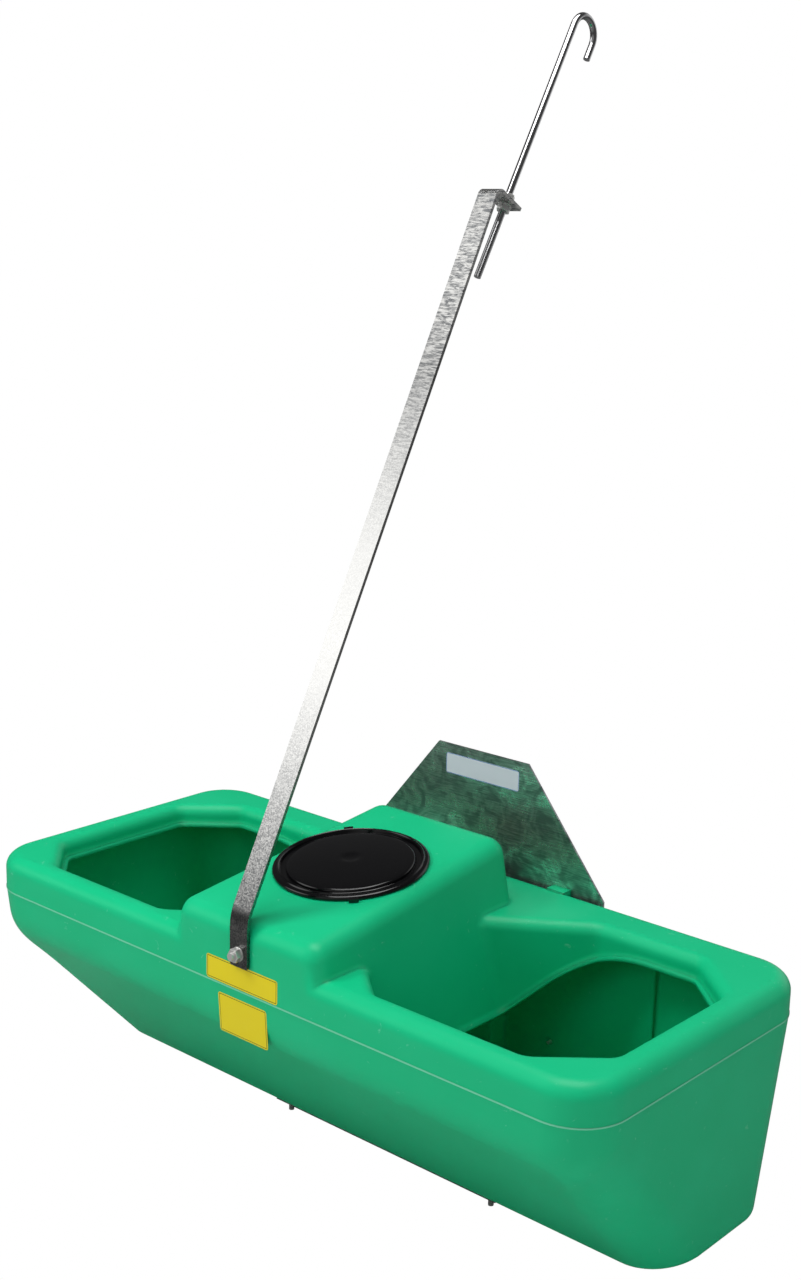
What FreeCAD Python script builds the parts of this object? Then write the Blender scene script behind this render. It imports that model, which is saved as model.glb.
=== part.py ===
import FreeCAD, Part
import math
import os
import re
import Sketcher
from FreeCAD import Placement, Rotation, Vector

# Hook-on drinking trough with two bays, for a water tank or bowser.
# Lengths are millimetres. x runs along the trough, y from the drinking side
# to the tank, z up from the parting seam of the moulding. Every piece is
# drawn from the middle plane of the trough and then shifted, so that the
# origin lies on the rear face of the support plate.

pieces = []
doc = FreeCAD.newDocument("trough")
sheet = doc.addObject("Spreadsheet::Sheet", "Sizes")

SIZES = [
    # moulded shell
    ("trough_length", 1100),
    ("trough_width", 481),
    ("corner_round", 69),
    ("shell_wall", 5),
    ("rim_height", 51),
    ("rim_outer_round", 21),
    ("rim_inner_round", 16),
    ("body_depth", 290),
    ("end_draft", 25),
    ("front_draft", 22),
    ("back_draft", 10),
    ("floor_width", 252),
    ("slope_angle", 47.5),
    ("slope_round", 71),
    ("floor_round", 14),
    ("seam_proud", 0.6),
    ("seam_band", 2),
    # drinking bays
    ("divider_width", 272),
    ("end_rim", 45),
    ("front_rim", 40.5),
    ("back_rim", 75),
    ("outer_chamfer_long", 75),
    ("outer_chamfer_short", 68),
    ("front_chamfer_long", 62),
    ("front_chamfer_short", 52),
    ("back_chamfer_long", 134),
    ("back_chamfer_short", 92),
    ("bay_round", 24),
    ("lip_height", 18),
    ("lip_arc", 190),
    ("lip_turn", 45),
    ("lip_run", 216),
    ("lip_width", 6),
    # valve hump
    ("hump_front_height", 93),
    ("hump_slope", 7.4),
    ("hump_side_draft", 12),
    ("hump_back", 158),
    ("hump_round", 26),
    ("hump_foot", 20),
    # back wall
    ("recess_width", 640),
    ("recess_depth", 8),
    ("niche_width", 130),
    ("niche_depth", 43),
    ("rib_offset", 154),
    ("rib_width", 30),
    ("rib_rise", 3),
    # support plate
    ("plate_thickness", 3),
    ("plate_width", 449),
    ("plate_top_width", 168),
    ("plate_top", 221),
    ("plate_shoulder", 50),
    ("foot_width", 426),
    ("foot_length", 207),
    ("foot_lip", 39),
    ("plate_bend", 4),
    ("foot_bolt_x", 195),
    ("foot_bolt_front", 192.5),
    ("foot_bolt_rear", 45.5),
    ("foot_bolt_radius", 4),
    ("foot_bolt_tail", 55),
    ("foot_head_radius", 8),
    ("foot_head_height", 5),
    ("foot_washer_radius", 13),
    ("foot_washer_height", 2.5),
    ("foot_nut_flats", 13),
    ("foot_nut_height", 6.5),
    ("rib_screw_radius", 3),
    ("rib_screw_length", 22),
    ("rib_screw_high", 10),
    ("rib_screw_low", 180),
    # hanger strap
    ("strap_width", 32),
    ("strap_thickness", 5),
    ("strap_tail", 36),
    ("strap_bolt_height", 54),
    ("strap_bend_height", 103),
    ("strap_lean", 26.6),
    ("strap_top", 1022),
    ("strap_bend_round", 60),
    ("flange_length", 58),
    ("flange_round", 7),
    ("strap_corner", 3),
    ("strap_bolt_radius", 5),
    ("strap_bolt_end", 5),
    ("strap_nut_flats", 17),
    ("strap_nut_height", 8),
    ("strap_washer_radius", 10),
    ("strap_washer_height", 2),
    ("strap_seal_radius", 13),
    ("strap_seal_height", 1.5),
    ("strap_head_radius", 12),
    ("strap_head_height", 5.5),
    # hook rod
    ("rod_radius", 5),
    ("rod_lean", 29.6),
    ("rod_seat", 41.5),
    ("rod_below", 116),
    ("rod_above", 280),
    ("hook_radius", 25),
    ("hook_return", 23),
    ("rod_nut_flats", 17),
    ("rod_nut_height", 8),
    ("rod_washer_radius", 10),
    ("rod_washer_height", 2),
    # inspection cover
    ("cover_y", -37),
    ("cover_hole_radius", 90),
    ("ring_radius", 107.5),
    ("ring_thickness", 5),
    ("ring_collar", 86),
    ("ring_depth", 16),
    ("ring_bead_radius", 100),
    ("ring_bead", 2),
    ("ring_seat", 92),
    ("cover_seal_height", 1.5),
    ("lid_radius", 91),
    ("lid_thickness", 4),
    ("lid_dome", 6),
    ("lid_skirt_radius", 84),
    ("lid_skirt", 12),
    ("lid_dimple_radius", 14),
    ("lid_dimple_depth", 3),
    ("tab_width", 9),
    ("tab_reach", 5),
    # float valve
    ("inlet_height", 84),
    ("inlet_radius", 13.2),
    ("inlet_length", 26),
    ("inlet_bore", 8),
    ("valve_flange_radius", 20),
    ("valve_flange", 5),
    ("valve_radius", 16),
    ("valve_length", 42),
    ("inlet_seal_height", 2),
    ("lock_nut_flats", 34),
    ("lock_nut_height", 8),
    ("plunger_radius", 7.5),
    ("plunger_length", 20),
    ("plunger_travel", 10),
    ("pad_height", 3),
    ("pivot_drop", 24),
    ("pivot_radius", 2.5),
    ("ear_gap", 13),
    ("ear_width", 4),
    ("arm_width", 12),
    ("arm_height", 8),
    ("arm_length", 130),
    ("arm_fall", 24),
    ("cam_offset", 8.3),
    ("stem_radius", 4),
    ("stem_length", 34),
    ("float_radius", 48),
    ("float_height", 56),
    ("float_round", 10),
    ("float_nut_flats", 13),
    ("float_nut_height", 6),
    # drain
    ("drain_x", -330),
    ("drain_y", 110),
    ("drain_radius", 15),
    ("drain_flange_radius", 24),
    ("drain_flange", 4),
    ("drain_nut_radius", 23),
    ("drain_nut_height", 7),
    ("drain_seal_height", 2),
    ("drain_cap_radius", 19),
    ("drain_cap_height", 9),
    # labels
    ("label_thickness", 0.2),
    ("brand_label_width", 132),
    ("brand_label_height", 33),
    ("brand_label_low", 2),
    ("notice_label_width", 90),
    ("notice_label_height", 56),
    ("notice_label_low", -67),
    ("plate_label_width", 137),
    ("plate_label_height", 31),
    ("plate_label_low", 176),
    # clearances
    ("face_gap", 0.3),
    ("turn_gap", 0.05),
    ("hole_gap", 0.5),
]
for row, (name, number) in enumerate(SIZES, start=1):
    sheet.set(f"A{row}", name)
    sheet.set(f"B{row}", str(number))
    sheet.setAlias(f"B{row}", name)
doc.recompute()


ALIASES = [name for name, number in SIZES]
WHOLE_WORD = {name: re.compile(r"(?<![\w.])" + name + r"(?!\w)") for name in ALIASES}
SHIFT = "-(trough_width / 2 + plate_thickness)"
TO_FRONT = "90"
TO_REAR = "-90"


def val(expression):
    """Number that an expression over the sheet's cells works out to."""
    result = sheet.evalExpression(expression)
    return float(getattr(result, "Value", result))


def bound(expression):
    """The expression as an object outside the sheet writes it."""
    for name in ALIASES:
        expression = WHOLE_WORD[name].sub("Sizes." + name, expression)
    return expression


def bind(thing, **expressions):
    for name, expression in expressions.items():
        thing.setExpression(name, bound(expression))
    return thing


def place(thing, x="0", y="0", z="0", turn=None):
    """Put a piece at x, y, z, turned about x by an angle in degrees."""
    thing.Placement = Placement(Vector(), Rotation(Vector(1, 0, 0), 1 if turn else 0))
    if turn:
        thing.setExpression("Placement.Rotation.Angle", bound(turn))
    thing.setExpression("Placement.Base.x", bound(x))
    thing.setExpression("Placement.Base.y", bound(y))
    thing.setExpression("Placement.Base.z", bound(z))
    return thing


def seat(thing, label, x="0", y="0", z="0", turn=None):
    """Name a finished piece and put it where it belongs in the trough."""
    thing.Label = label
    pieces.append(thing)
    return place(thing, x, f"({y}) + {SHIFT}", z, turn)


def cylinder(name, radius, height, x="0", y="0", z="0", turn=None):
    thing = doc.addObject("Part::Cylinder", name)
    bind(thing, Radius=radius, Height=height)
    return place(thing, x, y, z, turn)


def crossbar(name, radius, length, y="0", z="0"):
    """Cylinder that lies along x, centred on the middle plane."""
    thing = doc.addObject("Part::Cylinder", name)
    bind(thing, Radius=radius, Height=length)
    thing.Placement = Placement(Vector(), Rotation(Vector(0, 1, 0), 90))
    thing.setExpression("Placement.Base.x", bound(f"-({length}) / 2"))
    thing.setExpression("Placement.Base.y", bound(y))
    thing.setExpression("Placement.Base.z", bound(z))
    return thing


def block(name, length, width, height, x="0", y="0", z="0"):
    """Box whose middle in x is at x, and whose low corner is at y, z."""
    thing = doc.addObject("Part::Box", name)
    bind(thing, Length=length, Width=width, Height=height)
    return place(thing, f"({x}) - ({length}) / 2", y, z)


def hexagon(name, flats, height, z="0"):
    thing = doc.addObject("Part::Prism", name)
    thing.Polygon = 6
    bind(thing, Circumradius=f"({flats}) / sqrt(3)", Height=height)
    return place(thing, z=z)


def cut(name, base, tool):
    thing = doc.addObject("Part::Cut", name)
    thing.Base = base
    thing.Tool = tool
    return thing


def fuse(name, *shapes):
    thing = doc.addObject("Part::MultiFuse", name)
    thing.Shapes = list(shapes)
    return thing


def ring(name, outer, inner, height, z="0"):
    rim = cylinder(name + "_rim", outer, height, z=z)
    eye = cylinder(name + "_eye", inner, f"({height}) + 2", z=f"({z}) - 1")
    return cut(name, rim, eye)


def nut(name, flats, height, bore, z="0"):
    eye = cylinder(name + "_eye", bore, f"({height}) + 2", z=f"({z}) - 1")
    return cut(name, hexagon(name + "_hex", flats, height, z), eye)


def sketch(body, name, role, outline):
    """Closed straight-sided outline, each corner held at two expressions."""
    plane = [item for item in body.Origin.OriginFeatures if item.Role == role][0]
    drawing = body.newObject("Sketcher::SketchObject", name)
    drawing.AttachmentSupport = [(plane, "")]
    drawing.MapMode = "FlatFace"
    corners = [(val(across), val(up)) for across, up in outline]
    count = len(corners)
    for index in range(count):
        start = Vector(*corners[index], 0)
        end = Vector(*corners[(index + 1) % count], 0)
        drawing.addGeometry(Part.LineSegment(start, end))
    for index in range(count):
        drawing.addConstraint(Sketcher.Constraint("Coincident", index, 2, (index + 1) % count, 1))
    for index in range(count):
        for axis, kind in enumerate(("DistanceX", "DistanceY")):
            made = Sketcher.Constraint(kind, -1, 1, index, 1, corners[index][axis])
            number = drawing.addConstraint(made)
            drawing.setExpression(f"Constraints[{number}]", bound(outline[index][axis]))
    return drawing


def padded(name, role, outline, length):
    """Body made by padding an outline both ways from its plane."""
    body = doc.addObject("PartDesign::Body", name)
    pad = body.newObject("PartDesign::Pad", name + "_pad")
    pad.Profile = sketch(body, name + "_sketch", role, outline)
    pad.Midplane = True
    bind(pad, Length=length)
    doc.recompute()
    return body


def turned(name, outline):
    """Body of revolution about z, from an outline of radius and height."""
    body = doc.addObject("PartDesign::Body", name)
    drawing = sketch(body, name + "_sketch", "XZ_Plane", outline)
    spin = body.newObject("PartDesign::Revolution", name + "_spin")
    spin.Profile = drawing
    spin.ReferenceAxis = (drawing, ["V_Axis"])
    spin.Angle = 360
    doc.recompute()
    return body


def edges_of(shape, test):
    return [edge for edge in shape.Edges if test(edge)]


def fillet_body(body, name, radius, test):
    """Round the edges of a body's last feature that pass the test."""
    last = body.Tip
    names = [f"Edge{number}" for number, edge in enumerate(last.Shape.Edges, start=1) if test(edge)]
    rounding = body.newObject("PartDesign::Fillet", name)
    rounding.Base = (last, names)
    bind(rounding, Radius=radius)
    doc.recompute()
    return rounding


# Moulded shell: one hollow rotomoulding. hull() draws its outside, and the
# same shape drawn one wall further in gives the hollow. It is kept as the
# upper and the lower half of its mould, which meet at the parting seam.

def rounded_wire(low_x, high_x, low_y, high_y, radius, z):
    corners = [(high_x, high_y, 0), (low_x, high_y, 90), (low_x, low_y, 180), (high_x, low_y, 270)]
    arcs = []
    for x, y, start in corners:
        centre = Vector(x - math.copysign(radius, x), 0, z)
        centre.y = y - radius if y == high_y else y + radius
        circle = Part.Circle(centre, Vector(0, 0, 1), radius)
        arcs.append(Part.Arc(circle, math.radians(start), math.radians(start + 90)).toShape())
    lines = []
    for index, arc in enumerate(arcs):
        following = arcs[(index + 1) % 4]
        lines.append(Part.makeLine(arc.Vertexes[-1].Point, following.Vertexes[0].Point))
    ordered = [edge for pair in zip(arcs, lines) for edge in pair]
    return Part.Wire(ordered)


def prism(points, direction):
    """Solid of a closed polygon of points, pushed along a vector."""
    return Part.Face(Part.makePolygon(points + [points[0]])).extrude(direction)


def drawn(shape, radius, test):
    """Shape with the edges that pass the test rounded."""
    return shape.makeFillet(radius, edges_of(shape, test))


def tub(inset):
    """Trough below the seam: drafted sides and the sloping front."""
    half_length = val("trough_length / 2") - inset
    half_width = val("trough_width / 2") - inset
    foot = -val("body_depth") + inset
    top = rounded_wire(-half_length, half_length, -half_width, half_width,
                       val("corner_round") - inset, 0)
    low_x = half_length - val("end_draft")
    low_front = -half_width + val("front_draft")
    low_back = half_width - val("back_draft")
    bottom = rounded_wire(-low_x, low_x, low_front, low_back, val("corner_round") - inset, foot)
    solid = Part.makeLoft([top, bottom], True, True)
    slope = math.radians(val("slope_angle"))
    down = Vector(0, math.cos(slope), -math.sin(slope))
    inward = Vector(0, math.sin(slope), math.cos(slope))
    toe_y = val("trough_width / 2 - back_draft - floor_width")
    toe = Vector(-half_length - 10, toe_y, -val("body_depth")) + inward * inset
    reach = val("body_depth") * 2
    corners = [toe + down * reach, toe - down * reach, toe - down * reach - inward * reach,
               toe + down * reach - inward * reach]
    solid = solid.cut(prism(corners, Vector(2 * half_length + 20, 0, 0)))

    def on_slope(vertex):
        return abs((vertex.Point - toe).dot(inward)) < 0.01

    def slope_edge(edge):
        return all(on_slope(vertex) for vertex in edge.Vertexes) and edge.CenterOfMass.z > foot + 1

    solid = drawn(solid, val("slope_round") - inset, slope_edge)

    def floor_edge(edge):
        return all(abs(vertex.Z - foot) < 0.01 for vertex in edge.Vertexes)

    return drawn(solid, val("floor_round") - inset, floor_edge)


def bay_outline(grow):
    """Corners of the right bay's mouth, moved outwards by a wall.

    The side towards the hump is drawn further in, for bay() to cut back.
    """
    left = val("divider_width / 2")
    extra = val("divider_width / 8")
    front_rise = extra * val("front_chamfer_short / front_chamfer_long")
    back_rise = extra * val("back_chamfer_short / back_chamfer_long")
    right = val("trough_length / 2 - end_rim")
    front = -val("trough_width / 2 - front_rim")
    back = val("trough_width / 2 - back_rim")
    corners = [
        (left + val("front_chamfer_long"), front),
        (right - val("outer_chamfer_long"), front),
        (right, front + val("outer_chamfer_short")),
        (right, back - val("outer_chamfer_short")),
        (right - val("outer_chamfer_long"), back),
        (left + val("back_chamfer_long"), back),
        (left - extra, back - val("back_chamfer_short") - back_rise),
        (left - extra, front + val("front_chamfer_short") + front_rise),
    ]
    ring_wire = Part.makePolygon([Vector(x, y, 0) for x, y in corners + corners[:1]])
    if grow:
        ring_wire = ring_wire.makeOffset2D(grow, join=2)
    return ring_wire


def bay(grow, low, high):
    """Column through the right bay, with its upright edges rounded.

    Its side towards the hump has the draft of the hump's side.
    """
    wire = bay_outline(grow)
    wire.translate(Vector(0, 0, low))
    column = Part.Face(wire).extrude(Vector(0, 0, high - low))
    draft = math.radians(val("hump_side_draft"))
    width = val("trough_width")

    def side(z):
        shift = (val("rim_height") - z) * math.tan(draft) - grow / math.cos(draft)
        return Vector(val("divider_width / 2") + shift, -width, z)

    hump_side = [side(low - 1), side(high + 1), Vector(0, -width, high + 1),
                 Vector(0, -width, low - 1)]
    column = column.cut(prism(hump_side, Vector(0, 2 * width, 0)))
    upright = edges_of(column, lambda edge: abs(edge.Vertexes[0].Z - edge.Vertexes[-1].Z) > 1)
    return column.makeFillet(val("bay_round") + grow, upright)


def mirrored(shape):
    return shape.mirror(Vector(), Vector(1, 0, 0))


def both_bays(shape):
    return shape.fuse(mirrored(shape))


def above_lip(rise):
    """Everything above the line at which the bay's wall is trimmed off."""
    level = val("lip_height") + rise
    start = val("divider_width / 2 + lip_run")
    arc_radius = val("lip_arc")
    turn = math.radians(val("lip_turn"))
    middle = turn / 2
    flat_end = Vector(val("trough_length"), 0, level)
    arc_top = Vector(start, 0, level)
    arc_middle = Vector(start - arc_radius * math.sin(middle), 0,
                        level - arc_radius * (1 - math.cos(middle)))
    arc_low = Vector(start - arc_radius * math.sin(turn), 0,
                     level - arc_radius * (1 - math.cos(turn)))
    tail = Vector(0, 0, arc_low.z - arc_low.x * math.tan(turn))
    ceiling = val("body_depth")
    edges = [
        Part.makeLine(flat_end, arc_top),
        Part.Arc(arc_top, arc_middle, arc_low).toShape(),
        Part.makeLine(arc_low, tail),
        Part.makeLine(tail, Vector(0, 0, ceiling)),
        Part.makeLine(Vector(0, 0, ceiling), Vector(flat_end.x, 0, ceiling)),
        Part.makeLine(Vector(flat_end.x, 0, ceiling), flat_end),
    ]
    depth = val("trough_width")
    face = Part.Face(Part.Wire(edges))
    face.translate(Vector(0, -depth, 0))
    return face.extrude(Vector(0, 2 * depth, 0))


def hump_top(y):
    """Height of the hump's sloping top at y."""
    return val("hump_front_height") + (y + val("trough_width / 2")) * math.tan(
        math.radians(val("hump_slope")))


def hump(inset):
    """Valve housing between the bays, sides drafted and top sloping."""
    half = val("divider_width / 2") - inset
    seat_level = val("rim_height")
    foot = val("hump_foot")
    lean = math.tan(math.radians(val("hump_side_draft")))
    ceiling = val("hump_front_height") * 3
    front = -val("trough_width / 2") + inset
    back = val("hump_back") - inset
    low_half = half + (seat_level - foot) * lean
    high_half = half - (ceiling - seat_level) * lean
    profile = [Vector(-low_half, front, foot), Vector(low_half, front, foot),
               Vector(high_half, front, ceiling), Vector(-high_half, front, ceiling)]
    solid = prism(profile, Vector(0, back - front, 0))
    drop = inset / math.cos(math.radians(val("hump_slope")))
    far = back + 10
    near = front - 10
    cap = [Vector(-half * 2, near, hump_top(near) - drop), Vector(-half * 2, far, hump_top(far) - drop),
           Vector(-half * 2, far, ceiling + 10), Vector(-half * 2, near, ceiling + 10)]
    solid = solid.cut(prism(cap, Vector(half * 4, 0, 0)))

    def seen(edge):
        return edge.BoundBox.ZMax > foot + 1

    return drawn(solid, val("hump_round") - inset, seen)


def band(inset):
    """Rim above the seam, its outer top edge rounded."""
    half_length = val("trough_length / 2") - inset
    half_width = val("trough_width / 2") - inset
    top = val("rim_height") - inset
    wire = rounded_wire(-half_length, half_length, -half_width, half_width,
                        val("corner_round") - inset, 0)
    solid = Part.Face(wire).extrude(Vector(0, 0, top))
    return drawn(solid, val("rim_outer_round") - inset,
                 lambda edge: all(abs(vertex.Z - top) < 0.01 for vertex in edge.Vertexes))


def back_cuts(inset):
    """Shallow recess for the support plate and the hose niche behind the hump."""
    rear = val("trough_width / 2")
    low = -val("body_depth") - 10
    tall = val("body_depth + rim_height") + 20
    deep = rear - val("recess_depth") - inset
    wide = val("recess_width") + 2 * inset
    recess = Part.makeBox(wide, rear, tall, Vector(-wide / 2, deep, low))
    niche_y = rear - val("niche_depth") - inset
    niche_wide = val("niche_width") + 2 * inset
    niche = Part.makeBox(niche_wide, rear, tall, Vector(-niche_wide / 2, niche_y, low))
    return recess.fuse(niche)


def ribs():
    """Upright pads in the recess, which the support plate bears on."""
    rear = val("trough_width / 2")
    deep = val("recess_depth + back_draft")
    low = -val("body_depth - floor_round - back_draft")
    tall = val("rim_height + rib_rise") - low
    width = val("rib_width")
    rib = Part.makeBox(width, deep, tall, Vector(val("rib_offset") - width / 2, rear - deep, low))
    return both_bays(rib)


def hull(inset):
    """Outside of the moulding, or the same shape one wall further in."""
    solid = tub(inset).fuse(band(inset))
    opened = solid.cut(both_bays(bay(inset, 0, val("rim_height") * 2)))
    top = val("rim_height") - inset
    edge_x = val("trough_length / 2 - corner_round / 2")

    def mouth(edge):
        level = all(abs(vertex.Z - top) < 0.01 for vertex in edge.Vertexes)
        return level and abs(edge.CenterOfMass.x) < edge_x and edge.BoundBox.YMax < val(
            "trough_width / 2 - rim_outer_round") - 1 and edge.BoundBox.YMin > -val(
            "trough_width / 2 - rim_outer_round") + 1

    opened = drawn(opened, val("rim_inner_round") - inset, mouth)
    return opened.cut(back_cuts(inset)).fuse(hump(inset))


def hole_along_y(x, z, radius, low_y, high_y):
    tool = Part.makeCylinder(radius, high_y - low_y, Vector(x, low_y, z), Vector(0, 1, 0))
    return tool


def foot_places():
    """Each bolt that holds the plate's foot to the floor, set from the back wall."""
    return [(side + "foot_bolt_x", f"trough_width / 2 - {y}")
            for side in ("-", "") for y in ("foot_bolt_front", "foot_bolt_rear")]


def screw_places():
    """Each screw that holds the plate to a rib."""
    return [(side + "rib_offset", z)
            for side in ("-", "") for z in ("rib_screw_high", "-rib_screw_low")]


def cover_axis():
    """Middle of the inspection hole and the way its axis points."""
    lean = math.radians(val("hump_slope"))
    return (Vector(0, val("cover_y"), hump_top(val("cover_y"))),
            Vector(0, -math.sin(lean), math.cos(lean)))


def shell_holes():
    """Holes for the bolts, the cover, the inlet, the plate's screws and the drain."""
    front = -val("trough_width / 2")
    wall = val("shell_wall")
    play = val("hole_gap")
    floor = -val("body_depth")
    holes = [hole_along_y(0, val("strap_bolt_height"), val("strap_bolt_radius") + play,
                          front - 1, front + wall + 1)]
    back = val("hump_back")
    holes.append(hole_along_y(0, val("inlet_height"), val("inlet_radius") + play,
                              back - wall - 1, back + 1))
    centre, along = cover_axis()
    start = centre - along * (wall * 2)
    holes.append(Part.makeCylinder(val("cover_hole_radius"), wall * 3, start, along))
    for x, y in foot_places():
        holes.append(Part.makeCylinder(val("foot_bolt_radius") + play, wall + 2,
                                       Vector(val(x), val(y), floor - 1)))
    rear = val("trough_width / 2")
    for x, z in screw_places():
        holes.append(hole_along_y(val(x), val(z), val("rib_screw_radius"),
                                  rear + val("plate_thickness - rib_screw_length"), rear + 1))
    holes.append(Part.makeCylinder(val("drain_radius") + play, wall + 2,
                                   Vector(val("drain_x"), val("drain_y"), floor - 1)))
    return holes


def seam():
    """Low ridge that the two halves of the mould leave at the seam."""
    proud = val("seam_proud")
    half_length = val("trough_length / 2")
    half_width = val("trough_width / 2")
    high = val("seam_band / 2")
    outer = rounded_wire(-half_length - proud, half_length + proud, -half_width - proud,
                         half_width + proud, val("corner_round") + proud, -high)
    inner = rounded_wire(-half_length + 1, half_length - 1, -half_width + 1,
                         half_width - 1, val("corner_round") - 1, -high)
    ridge = Part.Face(outer).cut(Part.Face(inner)).extrude(Vector(0, 0, 2 * high))
    return ridge.cut(back_cuts(0))


def moulded_shell():
    """The wall is left between the two hulls, and stands down round each bay to its lip."""
    wall = val("shell_wall")
    deep = -val("body_depth")
    high = val("rim_height")
    below_lip = both_bays(bay(wall, -wall, high).cut(above_lip(0)))
    collar = bay(wall, deep, high).cut(bay(0, deep, high))
    sleeve = both_bays(collar.common(above_lip(0)))
    lip_ring = bay(0, deep, high).cut(bay(-val("lip_width"), deep, high))
    lip = both_bays(lip_ring.common(above_lip(0)).cut(above_lip(wall)))
    hollow = hull(wall).fuse(below_lip).cut(sleeve)
    solid = hull(0).fuse([ribs(), seam()]).cut(hollow).fuse(lip)
    return solid.cut(shell_holes()).removeSplitter()


def upper_zone():
    """Space above the seam, with the aprons of the bays that hang below it."""
    length = val("trough_length")
    width = val("trough_width")
    room = 2 * val("shell_wall")
    above = Part.makeBox(2 * length, 2 * width, length, Vector(-length, -width, 0))
    apron = bay(room, -val("body_depth"), 0).common(above_lip(-room))
    return above.fuse(both_bays(apron))


moulding = moulded_shell()
for name, label, half in (
    ("UpperShell", "shell_upper", moulding.common(upper_zone())),
    ("LowerShell", "shell_lower", moulding.cut(upper_zone())),
):
    shell = doc.addObject("Part::Feature", name)
    shell.Shape = half
    seat(shell, label)


# Support plate: folded galvanised sheet behind and under the trough. The
# tank's wall bears on its rear face.

FACE_Y = "trough_width / 2"
FLOOR_Z = "-body_depth"


def support_plate():
    back = padded("PlateBack", "XZ_Plane", [
        ("-plate_width / 2", "2 * plate_bend - body_depth"),
        ("plate_width / 2", "2 * plate_bend - body_depth"),
        ("plate_width / 2", "plate_shoulder"),
        ("plate_top_width / 2", "plate_top"),
        ("-plate_top_width / 2", "plate_top"),
        ("-plate_width / 2", "plate_shoulder"),
    ], "plate_thickness")
    place(back, y=f"{FACE_Y} + plate_thickness / 2")
    fold = padded("PlateFoot", "YZ_Plane", [
        (FACE_Y, "2 * plate_bend - body_depth"),
        (f"{FACE_Y} + plate_thickness", "2 * plate_bend - body_depth"),
        (f"{FACE_Y} + plate_thickness", "-body_depth - plate_thickness"),
        (f"{FACE_Y} + plate_thickness - foot_length", "-body_depth - plate_thickness"),
        (f"{FACE_Y} + plate_thickness - foot_length", "-body_depth - plate_thickness - foot_lip"),
        (f"{FACE_Y} - foot_length", "-body_depth - plate_thickness - foot_lip"),
        (f"{FACE_Y} - foot_length", "-body_depth"),
        (FACE_Y, "-body_depth"),
    ], "foot_width")
    heel = val(f"{FACE_Y} + plate_thickness")
    base = val("-body_depth - plate_thickness")
    front = val(f"{FACE_Y} - foot_length")

    def along_x(edge, y, z):
        return all(abs(vertex.Y - y) < 0.01 and abs(vertex.Z - z) < 0.01 for vertex in edge.Vertexes)

    fillet_body(fold, "PlateFold", "plate_bend",
                lambda edge: along_x(edge, heel, base) or along_x(edge, front, val(FLOOR_Z)))
    joined = fuse("PlateJoined", back, fold)
    tools = []
    for number, (x, y) in enumerate(foot_places()):
        tools.append(cylinder(f"FootHole{number}", "foot_bolt_radius + hole_gap",
                              "plate_thickness + 4", x, y, "-body_depth - plate_thickness - 2"))
    for number, (x, z) in enumerate(screw_places()):
        tools.append(cylinder(f"ScrewHole{number}", "rib_screw_radius + hole_gap",
                              "plate_thickness + 4", x, f"{FACE_Y} - 2", z, TO_REAR))
        sink = doc.addObject("Part::Cone", f"ScrewSink{number}")
        bind(sink, Radius1="rib_screw_radius + hole_gap",
             Radius2="rib_screw_radius + hole_gap + plate_thickness", Height="plate_thickness")
        tools.append(place(sink, x, FACE_Y, z, TO_REAR))
    tools.append(cylinder("DrainReach", "drain_cap_radius + 4", "plate_thickness + 4",
                          "drain_x", "drain_y", "-body_depth - plate_thickness - 2"))
    holed = cut("PlateHoled", joined, fuse("PlateHoles", *tools))
    return seat(holed, "support_plate")


support_plate()

# Foot bolts: four, from inside the tank through floor and foot, each on a
# sealing washer. Their ends carry the trough when it stands on the ground.

def foot_bolts():
    bolts = []
    washers = []
    nuts = []
    for number, (x, y) in enumerate(foot_places()):
        inside = "shell_wall + foot_washer_height - body_depth"
        shank = cylinder(f"FootShank{number}", "foot_bolt_radius",
                         "foot_bolt_tail + plate_thickness + shell_wall + foot_washer_height + 1",
                         x, y, "-body_depth - plate_thickness - foot_bolt_tail")
        head = cylinder(f"FootHead{number}", "foot_head_radius", "foot_head_height", x, y, inside)
        bolts.append(fuse(f"FootBolt{number}", shank, head))
        seal = ring(f"FootSeal{number}", "foot_washer_radius", "foot_bolt_radius", "foot_washer_height")
        washers.append(place(seal, x, y, "shell_wall - body_depth"))
        below = nut(f"FootNut{number}", "foot_nut_flats", "foot_nut_height", "foot_bolt_radius")
        nuts.append(place(below, x, y, "-body_depth - plate_thickness - foot_nut_height"))
    seat(group("FootBolts", bolts), "foot_bolts")
    seat(group("FootSeals", washers), "foot_bolt_seals")
    seat(group("FootNuts", nuts), "foot_bolt_nuts")


def group(name, things):
    """Like pieces kept as separate solids in one node."""
    thing = doc.addObject("Part::Compound", name)
    thing.Links = things
    return thing


foot_bolts()


# Rib screws: countersunk, flush with the plate's rear face.

def rib_screws():
    screws = []
    for number, (x, z) in enumerate(screw_places()):
        shank = cylinder(f"RibShank{number}", "rib_screw_radius - face_gap / 2",
                         "rib_screw_length - plate_thickness / 2", z="plate_thickness / 2")
        head = doc.addObject("Part::Cone", f"RibHead{number}")
        bind(head, Radius1="rib_screw_radius + hole_gap + plate_thickness",
             Radius2="rib_screw_radius + hole_gap", Height="plate_thickness")
        screw = fuse(f"RibScrew{number}", shank, head)
        screws.append(place(screw, x, f"{FACE_Y} + plate_thickness", z, TO_FRONT))
    seat(group("RibScrews", screws), "rib_screws")


rib_screws()


# Hanger strap: galvanised flat bar bolted to the hump's front, bent back over
# the trough, with its top folded down to carry the hook rod.

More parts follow.
